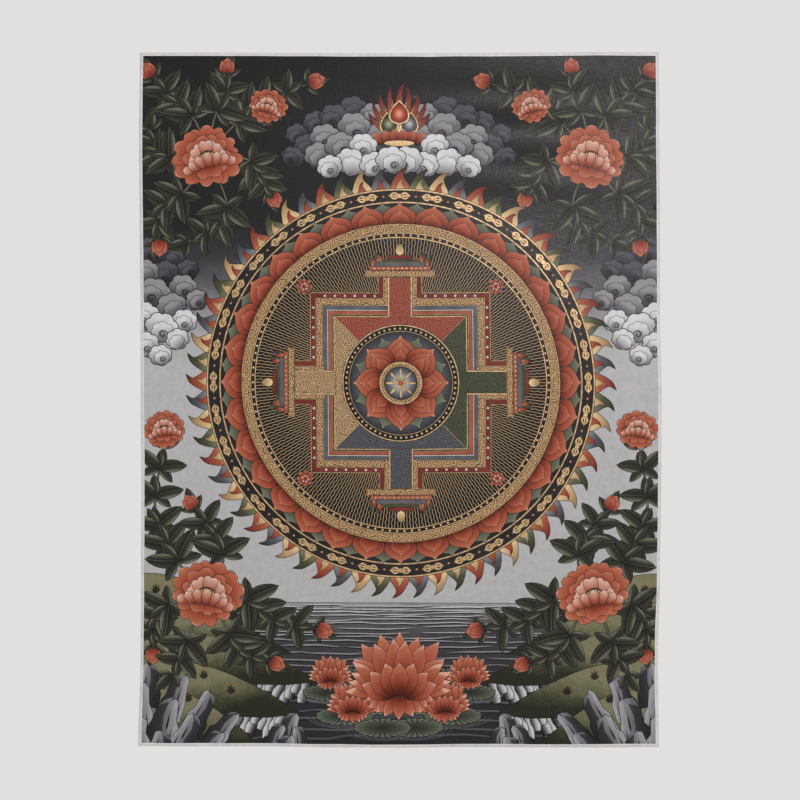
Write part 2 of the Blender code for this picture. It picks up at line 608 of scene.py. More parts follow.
# Malachite let down with black and white: a cool grey green that is palest along the rim
pad_green = distemper(
    "malachite_in_black_and_white",
    ribbed,
    (0.1, "#1b1d19"), (0.5, "#33372f"), (0.8, "#545a4c"), (1.0, "#767c6a"),
)

PAD = lobed(13, 4, 0.07)
LOTUS_PETAL = both_sides(
    curve([(0.2, 0.0), (0.4, 0.26), (0.48, 0.52), (0.34, 0.78), (0.1, 0.93), (0.0, 1.0)], 3)
)
LOTUS_ROWS = (
    # foot up, leans, length, width, bend
    (0.02, (40, 20, 0), 0.6, 0.22, 0.1),
    (0.0, (58, 30, 10), 0.54, 0.22, 0.2),
    (0.0, (104, 92, 80, 66), 0.5, 0.15, 0.6),
    (-0.05, (114, 130, 146, 162, 180), 0.3, 0.15, 0.3),
    (-0.08, (78, 52, 26, 0), 0.36, 0.2, 0.25),
)


def lotus(place):
    """An open lotus from the side, 1 across: petals that stand, spread and hang, then a cup."""
    for foot, leans, long, wide, bend in LOTUS_ROWS:
        bent = [(x + bend * y * y, y) for x, y in LOTUS_PETAL]
        for lean in leans:
            upright = lean % 180 == 0
            for way in (1,) if upright else (1, -1):
                aside = -0.09 * way * math.sin(math.radians(lean))
                petal = spot(aside, foot, way * lean, way * wide, long * random.uniform(0.94, 1.05))
                lay(LOTUS_PETAL if upright else bent, lotus_red, place @ petal, line=0.4)


PADS = (
    # across, up, width, height
    (0, -532, 37, 10), (38, -540, 26, 8), (62, -553, 22, 7),
    (22, -562, 29, 10), (47, -573, 25, 8), (14, -583, 25, 8),
)
LOTUSES = (
    # across, up, width
    (-60, -540, 32), (60, -540, 32), (-40, -566, 38), (40, -566, 38), (0, -549, 78),
)
NEAR_HALF = [(math.cos(k / 4), math.sin(k / 4)) for k in range(12, 26)]  # of a ripple round a leaf

floating = [
    side @ spot(across, up, 0, wide, high) for side in SIDES for across, up, wide, high in PADS
]
for place in floating:
    for reach in (1.32, 1.14):
        brush_line([(reach * x, reach * y) for x, y in NEAR_HALF], 0.8, ripple_light, place)
for place in floating:
    lay(PAD, pad_green, place)
for across, up, wide in LOTUSES:
    lotus(spot(across, up, 0, wide))

# ----------------------------------------
# Peony sprays, one in each corner. Stems set with three-part leaves run out from an open flower
# to closed buds, in vermilion let down with white and in greens that are nearly black.

LEAF_BEND = 0.24  # how far to one side the tip of a leaf 1 long turns
VEINS_APART = 0.15

# Vermilion let down with white: dark at the petal's foot, lightest along its rim
petal_red = distemper(
    "vermilion_let_down_with_white",
    reach_out,
    (0.2, "#3a1711"), (0.5, "#692c1f"), (0.76, "#934a35"), (0.94, "#a25f47"), (1.0, "#c39180"),
)
petal_pink = distemper(
    "white_let_down_with_vermilion",
    from_foot(sides=-0.25),
    (0.0, "#5f271c"), (0.35, "#93523f"), (0.75, "#b98c7b"), (1.0, "#cfb0a4"),
)
bud_red = distemper(
    "vermilion", from_foot(sides=0.2), (0.0, "#441711"), (0.5, "#82382a"), (1.0, "#ab6651")
)
# Gold powder in glue, left unburnished: it glints a little and is grainy close up
gold = flat_wash("shell_gold", "#9b7f58", "#c4a67c", patch=3, roughness=0.34, metallic=0.15)
# Lamp black stippled with ochre: the dark, dusty heart of a flower
heart_dark = flat_wash("lamp_black_and_ochre", "#2a211c", "#4c3c30", patch=1)


def veined(add, across, up):
    """Nearly black along the midrib, with side veins, and paler to the edges and the tip."""
    bent = add("Math", up, up, operation="MULTIPLY")
    aside = toned(add, across, (bent, -LEAF_BEND))
    fold = add("Math", aside, operation="ABSOLUTE")
    slant = toned(add, up, (fold, -2.0))
    veins = add("Math", slant, VEINS_APART / 2, operation="PINGPONG")
    rib = add("MapRange", fold, 0.035, 0.012)
    return toned(add, veins, (fold, 1.0), (aside, 0.35), (up, 0.16), (rib, 0.42))


# Malachite and indigo in black: the leaves, nearly lost against the dark ground
leaf_green = distemper(
    "malachite_in_black",
    veined,
    (0.08, "#171713"), (0.28, "#272822"), (0.48, "#3e4036"), (0.68, "#646657"),
)
# The same let down with white, in a fine brush: a stem shows between its leaves
stem_green = flat_wash("malachite_and_white_line", "#494c3f", "#5d6051")
LEAFLET = blade(belly=0.42, fullness=0.7, bend=LEAF_BEND, steps=7)


def leaf(place):
    """A leaf of three broad pointed parts from one foot, 1 long."""
    for lean, long in ((54, 0.7), (-54, 0.7), (4, 1.0)):
        long *= random.uniform(0.92, 1.08)
        wide = math.copysign(0.46 * long, lean)
        lay(LEAFLET, leaf_green, place @ spot(0, 0, lean + random.uniform(-6, 6), -wide, long))


def fan(spread, lobes, depth=0.14, steps=4):
    """A petal that opens from its foot at 0, 0 to a lobed rim, as far round as spread each way."""
    rim = []
    count = lobes * steps
    for k in range(count + 1):
        share = k / count
        angle = math.radians(spread) * (2 * share - 1)
        lobe = abs(math.sin(math.pi * lobes * share)) ** 0.7
        reach = 1 - depth + depth * lobe - 0.2 * abs(2 * share - 1) ** 4
        rim.append((reach * math.sin(angle), reach * math.cos(angle)))
    left, high = rim[0]
    side = curve([(0.0, 0.0), (left * 0.75, high * 0.45), (left, high)])[:-1]
    return side + rim + [(-x, y) for x, y in side[:0:-1]]


def petals(place, paint, count, long, spread, first, lobes):
    """One ring of petals round a flower's heart, no two just alike."""
    for k in range(count):
        outline = fan(spread * random.uniform(0.92, 1.1), lobes)
        lean = first + 360 * k / count + random.uniform(-5, 5)
        lay(outline, paint, place @ spot(0, 0, lean, long * random.uniform(0.9, 1.06)), line=0.4)


def peony(place):
    """An open flower, 2 across: two rings of broad petals, with a bowl of small ones in front."""
    tipped = place @ spot(0, 0, 0, 1, 0.86)
    petals(tipped, petal_red, 6, 1.0, 42, 12, 3)
    petals(tipped, petal_red, 5, 0.74, 44, 46, 2)
    bowl = place @ spot(0, -0.08)
    for lean in (70, -70, 40, -40, 6):
        lay(fan(30, 2, depth=0.1), petal_pink, bowl @ spot(0, 0, lean, 0.54), line=0.4)
    lay(disc(0.17, 14), heart_dark, bowl @ spot(0, 0.12, 0, 1.2, 0.7), line=0.35)
    for k in range(5):
        lay(disc(0.028, 6), gold, bowl @ spot(0.07 * (k - 2), 0.13 + 0.04 * (k % 2)), line=0)
    for lean in (80, -80, 52, -52, 26, -26, 0):
        petal = bowl @ spot(lean / 190, -0.24, -lean * 0.9, 0.27, 0.44 - abs(lean) / 900)
        lay(blade(0.58, 0.5, steps=6), petal_pink, petal, line=0.35)


def bud(place):
    """A closed flower in a cup of sepals, 1 high."""
    for lean, wide, high in ((0, 0.78, 1.05), (22, 0.52, 0.9), (-22, 0.52, 0.9), (5, 0.5, 0.84)):
        lay(blade(0.4, 0.6, steps=5), bud_red, place @ spot(0, 0, lean, wide, high), line=0.4)
    for lean in (56, -56):
        lay(blade(0.4, 0.8, steps=4), leaf_green, place @ spot(0, -0.06, lean, 0.2, 0.5), line=0.35)
    lay(disc(0.15, 8), leaf_green, place @ spot(0, 0, 0, 1.2, 0.7), line=0.35)


def stem(route, pairs, length, flower, side):
    """A stem with leaves in pairs, smaller towards its end, and a bud or a last leaf there."""
    line = curve(route, 8)
    brush_line(line, 2.5, ink, side, taper=0.4)
    brush_line(line, 1.5, stem_green, side, taper=0.4)
    for k in range(pairs + 1):
        step = round((1 - 0.8 * k / (pairs + 1)) * (len(line) - 1))
        (x, y), (before_x, before_y) = line[step], line[step - 1]
        heading = math.degrees(math.atan2(y - before_y, x - before_x)) - 90
        long = length * (0.72 + 0.28 * k / max(pairs, 1))
        for turn in (62, -62) if k else (0,):
            lean = heading + turn * random.uniform(0.85, 1.15)
            leaf(side @ spot(x, y, lean, long))
        if flower and not k:
            bud(side @ spot(x, y, heading, flower))


UPPER = (166, -90)
LOWER = (168, -468)
STEMS = (
    # route from the flower, pairs of leaves, length of leaf, height of the bud
    ([UPPER, (150, -128), (158, -150), (184, -164)], 3, 27, 0),
    ([UPPER, (184, -118), (206, -136), (208, -160)], 3, 27, 16),
    ([UPPER, (194, -92), (210, -86), (215, -66)], 3, 25, 0),
    ([UPPER, (132, -92), (120, -106), (112, -120)], 3, 25, 15),
    ([UPPER, (176, -60), (196, -42), (213, -22)], 3, 27, 16),
    ([UPPER, (142, -62), (118, -42), (80, -27)], 4, 27, 16),
    ([UPPER, (160, -58), (152, -38), (150, -20)], 2, 26, 15),
    ([LOWER, (194, -440), (213, -398), (206, -342)], 5, 29, 0),
    ([LOWER, (154, -440), (164, -416), (178, -396)], 3, 27, 15),
    ([LOWER, (136, -472), (110, -490), (74, -498)], 4, 27, 16),
    ([LOWER, (196, -476), (212, -492), (214, -514)], 3, 26, 15),
    ([LOWER, (182, -502), (188, -520), (198, -538)], 2, 26, 0),
    ([LOWER, (150, -498), (138, -516), (114, -526)], 3, 26, 15),
)
PEONIES = (
    # across, up, lean, reach of the petals
    (*UPPER, -14, 31), (*LOWER, 10, 33), (205, -326, -8, 19), (114, -46, 16, 17),
)

random.seed(11)
for side in SIDES:
    for route, pairs, length, flower in STEMS:
        stem(route, pairs, length, flower, side)
    for across, up, lean, reach in PEONIES:
        peony(side @ spot(across, up, lean, reach))

# ----------------------------------------
# Mandala. Rings drawn with a compass round one centre, from the fire outside to the court of the
# palace, each ruled off in gold: flames, gold thunderbolts, lotus petals, scrolls and pearls.

CENTRE = spot(0, -285)
FIRE_OUT = 185  # radii, from the tips of the flames inwards
FIRE_IN = 168
BOLT_IN = 157
LOTUS_IN = 137
SCROLL_IN = 129.5
COURT = 126
FLAMES = 64
BOLTS = 36
BOLT_MIDDLE = (FIRE_IN + BOLT_IN) / 2 - 0.5
PETALS = 32
PETAL_WIDE = math.tau * (BOLT_IN - 12) / PETALS  # they touch where they are widest
RAYS = 144
RAY_WAVE = 5.71  # mm along a wavy ray from one bend to the next but one
RAY_SWAY = 0.08  # as a share of the gap between two rays
PEARL = ((0.0, "#d8c9a8"), (0.55, "#b0956d"), (0.8, "#6c553b"), (0.86, "#1e1d1e"))


def ring(radius, paint, line=0.0, points=120):
    """A disc round the centre, of which the next one in leaves a ring to see."""
    lay(disc(radius, points), paint, CENTRE, line=line)


def on_ring(turn, radius):
    """A place on a ring, a share of a turn from the top, where up is outwards."""
    return CENTRE @ spot(0, 0, 360 * turn) @ spot(0, radius)


def petal_ring(count, foot, paint, shift, *sizes):
    """A ring of lotus petals, each drawn in one or more sizes with a line round it."""
    for k in range(count):
        root = on_ring((k + shift) / count, foot)
        for wide, high, line in sizes:
            lay(RIM_PETAL, paint, root @ spot(0, 0, 0, wide, high), line=line)


def scrolled(name, flat, line, cell=6.0, **finish):
    """Scrolls in a fine brush over flat colour, a whorl to each cell of a few millimetres."""

    def whorls(add, across, up):
        place = add("VectorMath", cloth_place(add), (1.0, 0.0, 1.0), operation="MULTIPLY")
        cells = add("TexVoronoi", Vector=place, Scale=1 / (cell * MM), Randomness=0.75)
        aside = add("VectorMath", place, cells.node.outputs["Position"], operation="SUBTRACT")
        parts = add("SeparateXYZ", aside).node.outputs
        return spiral(add, parts["X"], parts["Z"], 0.3 * cell * MM)

    return distemper(name, whorls, (0.3, line), (0.42, flat), **finish)


def pearl_string(name, count, middle, bead):
    """A string of gold pearls on black: their count, the string's radius and a pearl's, in mm."""

    def pearls(add, across, up):
        turned = spokes(add, across, up, count)
        aside = add("Math", turned, math.tau * middle / count, operation="MULTIPLY")
        rise = add("Math", reach_out(add, across, up), middle, operation="SUBTRACT")
        return add("Math", reach_out(add, aside, rise), bead, operation="DIVIDE")

    return distemper(name, pearls, *PEARL, roughness=0.32)


def rayed(add, across, up):
    """How many mm to the nearest of the gold rays, which are straight and wavy by turns."""
    reach = reach_out(add, across, up)
    wave = add("Math", reach, math.tau / RAY_WAVE, operation="MULTIPLY")
    sway = toned(add, 0.5, (add("Math", wave, operation="SINE"), RAY_SWAY))
    straight, wavy = [spokes(add, across, up, RAYS, shift) for shift in (0.0, sway)]
    nearest = add("Math", straight, wavy, operation="MINIMUM")
    gap = add("Math", nearest, reach, operation="MULTIPLY")
    return add("Math", gap, math.tau / RAYS, operation="MULTIPLY")


# Red lead, yellow ochre, malachite and indigo: flames, pale at the foot and dark at the tip
flame_red = distemper(
    "red_lead", from_foot(), (0.0, "#a98260"), (0.3, "#924e39"), (0.7, "#7a372a"), (1.0, "#491c16")
)
flame_gold = distemper(
    "yellow_ochre", from_foot(), (0.0, "#d3bd95"), (0.5, "#ad9067"), (1.0, "#786144")
)
flame_green = distemper(
    "malachite", from_foot(), (0.0, "#73775c"), (0.5, "#434733"), (1.0, "#25271e")
)
flame_slate = distemper(
    "indigo", from_foot(), (0.0, "#808286"), (0.5, "#4a4c51"), (1.0, "#26272a")
)
# Lamp black laid flat: the smooth dark bed that all the gold stands out from
night = flat_wash("lamp_black", "#1e1d1e", "#282728", roughness=0.32)
# Malachite and white: the back row of petals, cooler and duller than the red one
lotus_green = distemper(
    "malachite_and_white",
    from_foot(sides=0.1),
    (0.0, "#1e2019"), (0.5, "#3c3f32"), (0.9, "#65695a"), (1.0, "#878b78"),
)
# Shell gold worked over with a fine brush: a band that glints between brown or black lines
gold_scrolls = scrolled("scrolls_on_shell_gold", "#ae9068", "#43281d", 6.5, roughness=0.32)
pearls = pearl_string("gold_pearls_on_black", 126, 127.9, 1.3)
rays = distemper(
    "gold_rays_on_black",
    rayed,
    (0.0, "#c4aa81"), (0.16, "#98805d"), (0.31, "#1a191a"),
    roughness=0.32,
)

FLAME = curve([(0.5, 0.0), (0.42, 0.28), (0.26, 0.5), (0.16, 0.74), (0.34, 1.0)], 3)
FLAME += curve([(0.34, 1.0), (0.02, 0.86), (-0.16, 0.66), (-0.3, 0.42), (-0.5, 0.0)], 3)
PRONG = blade(0.5, 0.8, steps=6)
RIM_PETAL = both_sides(
    curve([(0.4, 0.0), (0.5, 0.28), (0.46, 0.54), (0.28, 0.76), (0.09, 0.88), (0.0, 1.0)], 3)
)
FIRE = (
    # a flame's paint, and the paint of the small flame at its foot
    (flame_red, flame_gold),
    (flame_slate, flame_red),
    (flame_gold, flame_red),
    (flame_green, flame_gold),
)

for k in range(FLAMES):
    paint, inner = FIRE[k % len(FIRE)]
    root = on_ring(k / FLAMES, FIRE_IN - 3)
    lay(FLAME, paint, root @ spot(0, 0, 0, 20, FIRE_OUT - FIRE_IN + 4))
    lay(FLAME, inner, root @ spot(0.4, 0, 0, 9, 12), line=0.3)
ring(FIRE_IN, gold, line=INK_LINE)
ring(FIRE_IN - 1.2, night)
for k in range(BOLTS):
    middle = on_ring(k / BOLTS, BOLT_MIDDLE)
    for lean in (90, -90):
        prong = middle @ spot(0, 0, lean, 6.4, 9.0)
        lay(PRONG, gold, prong, line=0)
        lay(PRONG, night, prong @ spot(0, 0.22, 0, 0.52, 0.6), line=0)
        lay(blade(0.3, 0.9, steps=4), gold, middle @ spot(0, 0, lean, 1.5, 10.4), line=0)
    lay(disc(1.9, 10), gold, middle, line=0.35)
    lay(disc(1.1, 8), flame_red, on_ring((k + 0.5) / BOLTS, BOLT_MIDDLE), line=0)
ring(BOLT_IN, gold)
ring(BOLT_IN - 1.1, night)
petal_ring(PETALS, LOTUS_IN - 1, lotus_green, 0.5, (PETAL_WIDE * 0.98, 20.3, INK_LINE))
petal_ring(
    PETALS,
    LOTUS_IN - 1,
    lotus_red,
    0.0,
    (PETAL_WIDE * 0.98, 19.8, INK_LINE), (PETAL_WIDE * 0.6, 13.464, 0.35),
)
ring(LOTUS_IN + 0.6, gold, line=0.35)
ring(LOTUS_IN - 0.3, gold_scrolls, line=0.35)
ring(SCROLL_IN + 0.7, gold, line=0.35)
ring(SCROLL_IN, pearls)
ring(COURT + 0.5, gold)
ring(COURT - 0.3, rays)

# ----------------------------------------
# Palace. A square of banded walls with a gate in each side, ruled and filled in flat colours and
# gold scrolls, with a triangle of court behind each gate.

WALL_OUT = 78
WALL_IN = 57
DOOR = 9  # half the width of the opening in a gate
PEARLS = 6

# Flat mineral colours: even and matt, each in its own band of wall
wall_red = flat_wash("lac_red", "#5e241c", "#72322a")
wall_slate = flat_wash("indigo_and_white", "#47494d", "#5b5d61")
wall_pale = flat_wash("chalk_white", "#a8a8a6", "#bdbdbb")
wall_green = flat_wash("malachite_flat", "#34382b", "#464a38")
wall_orange = flat_wash("vermilion_flat", "#864534", "#9a5846")
# The same colours under fine dark scrolls: cloth-like fields that the flat bands set off
red_court = scrolled("scrolls_on_vermilion", "#945040", "#54231b")
gold_court = scrolled("scrolls_on_ochre", "#a88e6b", "#57402b")
slate_court = scrolled("scrolls_on_indigo", "#525459", "#292a2d")
green_court = scrolled("scrolls_on_malachite", "#474c3a", "#23261d")

WALLS = (
    # half its width, paint
    (WALL_OUT, gold), (77.2, wall_red), (73.2, gold), (72.5, gold_scrolls), (67.3, gold),
    (66.6, wall_slate), (63.2, wall_pale), (62.2, wall_orange), (59.2, gold),
    (58.5, wall_green), (WALL_IN + 0.7, gold),
)
GATE = (
    # left and right reach, low, high, paint
    (19.0, 78, 92.5, gold),
    (18.3, 78, 91.8, wall_red),
    (14.4, 72, 91.8, gold),
    (13.7, 66, 91.8, gold_scrolls),
    (10.4, 57, 91.8, gold),
    (30.0, 91.8, 97.4, gold),
    (29.3, 92.4, 96.8, gold_scrolls),
    (26.4, 97.4, 101.0, wall_orange),
    (21.4, 101.0, 104.4, wall_slate),
    (16.0, 104.4, 107.6, gold),
    (15.4, 104.9, 107.1, wall_green),
    (10.4, 107.6, 110.4, wall_red),
)
QUARTERS = (red_court, gold_court, slate_court, green_court)  # top, left, bottom, right
BANNER = blade(0.35, 0.8, steps=5)

for half, paint in WALLS:
    lay(box(-half, -half, half, half), paint, CENTRE, line=0.35)
for quarter, court in enumerate(QUARTERS):
    corners = [(0, 0), (WALL_IN, WALL_IN), (-WALL_IN, WALL_IN)]
    lay(corners, court, on_ring(quarter / 4, 0), line=0.3, liner=gold)
for quarter, court in enumerate(QUARTERS):
    turned = on_ring(quarter / 4, 0)
    for reach, low, high, paint in GATE:
        lay(box(-reach, low, reach, high), paint, turned, line=0.35)
    lay(box(-DOOR, 56.5, DOOR, 91.2), court, turned, line=0.3)
    for flip in (1, -1):
        for k in range(PEARLS):
            lay(disc(0.9, 7), gold, turned @ spot(flip * (2 + 4 * k), 99.2), line=0.25)
            lay(disc(1.1, 8), wall_pale, turned @ spot(flip * (22 + 8.6 * k), 75.2), line=0.25)
        for across, up in ((24, 101), (19, 104.4)):
            hook = turned @ spot(flip * across, up)
            lay(BANNER, wall_green, hook @ spot(0, 0, -14 * flip, 4, 10), line=0.3)
            lay(BANNER, flame_red, hook @ spot(0, 0, 10 * flip, 3.4, 8), line=0.3)
    lay(blade(0.4, 0.6, steps=6), flame_gold, turned @ spot(0, 110.4, 0, 7, 10.5), line=0.35)
    corner = on_ring((quarter + 0.5) / 4, 117.5) @ spot(0, 0, 0, 12)
    petals(corner, petal_red, 8, 0.56, 26, 0, 1)
    petals(corner, petal_pink, 6, 0.3, 34, 0, 1)

# ----------------------------------------
# Heart of the mandala. An eight-petalled lotus round a gold wheel, on a disc that glows from
# white in the middle to slate at its edge.

HEART = 50.5
PETAL_FOOT = 15
SPOKES = 8

# White let down step by step to slate: an even glow with no brush mark in it
halo = distemper(
    "white_let_down_to_slate",
    reach_out,
    (0.0, "#c9cbce"), (0.3, "#a3a6ab"), (0.65, "#5e6167"), (1.0, "#2a2b2f"),
)
small_pearls = pearl_string("small_gold_pearls_on_black", 64, 47.2, 1.25)

ring(HEART, gold, 0.5, 90)
ring(HEART - 0.9, small_pearls, 0, 90)
ring(HEART - 5.4, gold, 0, 90)
lay(disc(1.0, 90), halo, CENTRE @ spot(0, 0, 0, HEART - 6.1), line=0.3)
petal_ring(SPOKES, PETAL_FOOT, lotus_green, 0.5, (23, 27.5, INK_LINE))
petal_ring(
    SPOKES,
    PETAL_FOOT,
    lotus_red,
    0.0,
    (26, 26.5, INK_LINE), (17.68, 21.2, 0.35), (10.4, 14.84, 0.3),
)
ring(18.4, gold, 0.5, 48)
ring(17.6, gold_scrolls, 0, 48)
ring(15.2, gold, 0.3, 48)
lay(disc(1.0, 48), halo, CENTRE @ spot(0, 0, 0, 14.4), line=0.3)
for k in range(SPOKES):
    spoke = on_ring(k / SPOKES, 2.6) @ spot(0, 0, 0, 2.2, 10.8)
    lay(blade(0.55, 0.7, steps=6), gold, spoke, line=0.3)
ring(3.8, gold, 0.35, 20)
ring(2.2, wall_orange, 0.35, 14)

# ----------------------------------------
# Three jewels in flames, standing on the bank of cloud over the mandala. Each is a round gem in
# a gold mount, shaded from a bright middle to a dark edge, and they rest on a row of petals.

# Indigo, vermilion and malachite shaded round: they look wet and deep beside the flat paint
jewel_slate = distemper(
    "indigo_shaded_with_white", reach_out, (0.05, "#a5a6a9"), (0.3, "#55575c"), (0.6, "#25262a")
)
jewel_red = distemper(
    "vermilion_shaded_round", reach_out, (0.05, "#c98a74"), (0.3, "#963f2d"), (0.6, "#3e140e")
)
jewel_green = distemper(
    "malachite_shaded_round", reach_out, (0.05, "#8e9279"), (0.3, "#454a35"), (0.6, "#1d2018")
)

DROP = both_sides(curve([(0.0, -0.5), (0.42, -0.34), (0.5, 0.0), (0.3, 0.34), (0.0, 0.62)], 4))
JEWELS = (
    # across, up, height, paint
    (-9, -3, 17, jewel_green),
    (9, -3, 17, jewel_slate),
    (0, 6, 19, jewel_red),
)

jewels = spot(0, -58)
for lean in (64, -64, 48, -48, 32, -32, 16, -16, 0):
    flame = jewels @ spot(0, -12, lean, math.copysign(15, lean), 46 - abs(lean) * 0.22)
    lay(FLAME, flame_red, flame, line=0.45)
    lay(FLAME, flame_gold, flame @ spot(0.02, 0, 0, 0.5, 0.72), line=0.3)
for across, up, high, paint in JEWELS:
    lay(DROP, gold, jewels @ spot(across, up, -across, high * 0.92, high), line=0.4)
    lay(DROP, paint, jewels @ spot(across, up, -across, high * 0.76, high * 0.84), line=0.3)
for across in (-30, 30, -18, 18, -6, 6):
    petal = jewels @ spot(across * 0.42, -19, -across * 1.6, 8, 12)
    lay(LOTUS_PETAL, lotus_red, petal, line=0.4)
lay(disc(1, 24), gold, jewels @ spot(0, -19.5, 0, 13, 2.4), line=0.4)

# ----------------------------------------
# The finished cloth. The layers of paint are cut into the face of one sheet, so that the brush
# work has its own edges. The sheet was cut free by hand and hangs with a few shallow swells.

CLOTH_THICK = 1
SHOWS_THROUGH = 0.4  # how much darker the dark paint makes the back, and how much all paint does
FIELD_SHOWS = 0.2
NIGHT_FADES = (-250, -170)  # from where it doesn't show to where it shows in full
POOL_FADES = (HORIZON + 4, HORIZON - 30)
BACK_PATCH = 71.4


def seen_from_behind(add, across, up):
    """Thinly primed cotton, darker where the night sky, mandala and pool show through it, and with
    painted shade between its threads.
    """
    place = add("CombineXYZ", across, up)
    from_middle = add("VectorMath", place, (0, CLOTH_HIGH / 2, 0), operation="ADD")
    ends = (CLOTH_WIDE / 2 - MARGIN, CLOTH_HIGH / 2 - MARGIN, 1)
    share = add("VectorMath", from_middle, ends, operation="DIVIDE")
    parts = add("SeparateXYZ", add("VectorMath", share, operation="ABSOLUTE")).node.outputs
    outmost = add("Math", parts["X"], parts["Y"], operation="MAXIMUM")
    field = add("MapRange", outmost, 1.003, 0.996)
    rise = add("Math", up, CENTRE.translation.y, operation="SUBTRACT")
    fire = (reach_out(add, across, rise), FIRE_OUT, FIRE_IN)
    ghost = 0.0
    for value, light, dark in (fire, (up, *NIGHT_FADES), (up, *POOL_FADES)):
        band = add("MapRange", value, light, dark, 0.0, SHOWS_THROUGH)
        ghost = add("Math", band, ghost, operation="MAXIMUM")
    soft = add("TexNoise", Vector=place, Scale=1 / BACK_PATCH, Detail=3.0)
    # the weave term lightens the crowns of the threads and darkens the gaps between them: partly
    # the threads' own unevenness, partly painted shade that makes the weave show
    return toned(add, ghost, (field, FIELD_SHOWS), (weave(add), -0.8), (soft, 0.5))


# Unpainted cotton, sized with glue and thinly chalked: matt, warm and open in the weave, with
# painted shade between its threads
cotton_back = distemper(
    "sized_cotton_back",
    seen_from_behind,
    (0.0, "#e2dbcc"), (0.35, "#cdc4b3"), (0.7, "#b5ab9b"),
    roughness=0.8,
)

PAINT_GRID = 7.5  # between the places where the face can bend
BACK_GRID = 15
EDGE_STEP = 6
STRAIGHT = 0.035  # a point nearer than this to the straight line past it is left out
WELD = 0.004  # points nearer to each other than this are one
INSIDE_OUTLINES = 1  # which triangles a cut gives

# How far each edge strays outwards, at nine places from the top down or from left to right
LEFT_OUT = (0.3, 1.0, 0.6, -0.2, -0.3, -1.1, -0.9, -0.5, 1.3)
RIGHT_OUT = (-0.9, -0.5, 0.1, -0.1, 1.3, 1.0, 0.0, -1.6, -1.2)
TOP_OUT = (0.8, 0.9, 0.4, 0.2, 0.0, 0.3, 0.7, 1.1, 1.0)
LOW_OUT = (-1.1, -0.5, -0.3, 0.5, 0.9, 0.2, 0.7, 0.7, 0.0)
SWELLS = (
    # across, down, reach along, reach over, turned in degrees, forward
    (95, 38, 110, 17, 2, 1.6), (105, 70, 100, 16, 3, -1.4), (110, 105, 95, 18, 4, 1.5),
    (-120, 60, 120, 45, -12, 1.4), (-205, 210, 150, 30, 88, -1.8),
    (60, 250, 170, 90, 20, 1.2), (212, 335, 120, 26, 90, 1.9),
    (-60, 400, 160, 60, -18, -1.3), (-214, 470, 90, 24, 86, 1.7),
    (170, 520, 120, 45, 24, -1.5), (-30, 592, 150, 18, 0, 1.6),
    (-222, 598, 60, 42, 45, 3.2), (222, 598, 55, 40, -45, 2.6),
)


def strays(edge_out, share):
    """How far an edge strays outwards, eased from each of its places to the next."""
    place = min(int(share * (len(edge_out) - 1)), len(edge_out) - 2)
    way = share * (len(edge_out) - 1) - place
    before, after = edge_out[place:place + 2]
    return before + (after - before) * way * way * (3 - 2 * way)


def forward_of_flat(across, down):
    forward = 0.0
    for middle, depth, along, over, turned, height in SWELLS:
        turn = math.radians(turned)
        right, below = across - middle, down - depth
        lengthwise = right * math.cos(turn) + below * math.sin(turn)
        crosswise = below * math.cos(turn) - right * math.sin(turn)
        forward += height * math.exp(-((lengthwise / along) ** 2) - (crosswise / over) ** 2)
    return forward


def hung(across, up, half_thickness):
    """Where a place on the flat cloth lies as it hangs, on its painted face or on its back."""
    from_left = across / CLOTH_WIDE + 0.5
    from_top = -up / CLOTH_HIGH
    left = -CLOTH_WIDE / 2 - strays(LEFT_OUT, from_top)
    right = CLOTH_WIDE / 2 + strays(RIGHT_OUT, from_top)
    top = strays(TOP_OUT, from_left)
    low = -CLOTH_HIGH - strays(LOW_OUT, from_left)
    x = left + (right - left) * from_left
    z = top + (low - top) * from_top
    forward = forward_of_flat(x, -z) - forward_of_flat(0, 0) + half_thickness
    return Vector((x, -forward, z)) * MM


def lattice(pitch):
    """Points a pitch apart inside the flat cloth, where it can bend."""
    columns, rows = round(CLOTH_WIDE / pitch), round(CLOTH_HIGH / pitch)
    return [
        Vector((CLOTH_WIDE * (column / columns - 0.5), -CLOTH_HIGH * row / rows))
        for row in range(1, rows)
        for column in range(1, columns)
    ]


# First cut: every outline, which tells which shape was laid last on each triangle
edge = round_the_cloth(EDGE_STEP)
points, loops = [], []
for outline in [edge] + [shape for shape, paint, own in layers]:
    loops.append(list(range(len(points), len(points) + len(outline))))
    points.extend(outline)
flat, _, triangles, origins, _, within = delaunay_2d_cdt(points, [], loops, INSIDE_OUTLINES, WELD)
at_edge = [any(origin < len(edge) for origin in came_from) for came_from in origins]
inside_out = {0}  # an outline that crosses itself where it starts fills all but its own inside
for triangle, shapes in zip(triangles, within):
    if any(at_edge[k] for k in triangle):
        inside_out.update(shapes)
last_laid = [max(set(shapes) - inside_out) if FIELD in shapes else 0 for shapes in within]

# Second cut: only the edges that show, with fewer points where they run straight
beside = {}
for triangle, shape in zip(triangles, last_laid):
    for a, b in zip(triangle, triangle[1:] + triangle[:1]):
        beside.setdefault((min(a, b), max(a, b)), []).append(shape)
joined = {}
for (a, b), shapes in beside.items():
    if len(shapes) == 1 or shapes[0] != shapes[1]:
        joined.setdefault(a, set()).add(b)
        joined.setdefault(b, set()).add(a)
for point in list(joined):
    if len(joined[point]) == 2 and not at_edge[point]:
        a, b = joined[point]
        chord = flat[b] - flat[a]
        aside = abs(chord.cross(flat[point] - flat[a]))
        if b not in joined[a] and aside < STRAIGHT * chord.length:
            del joined[point]
            joined[a] = joined[a] - {point} | {b}
            joined[b] = joined[b] - {point} | {a}
place_of = {point: k for k, point in enumerate(joined)}
drawn = [(place_of[a], place_of[b]) for a, ends in joined.items() for b in ends if a < b]
bends = [flat[point] for point in joined] + lattice(PAINT_GRID)
face_spots, _, face_triangles, *_ = delaunay_2d_cdt(bends, drawn, [], INSIDE_OUTLINES, WELD)
bends, around = edge + lattice(BACK_GRID), [list(range(len(edge)))]
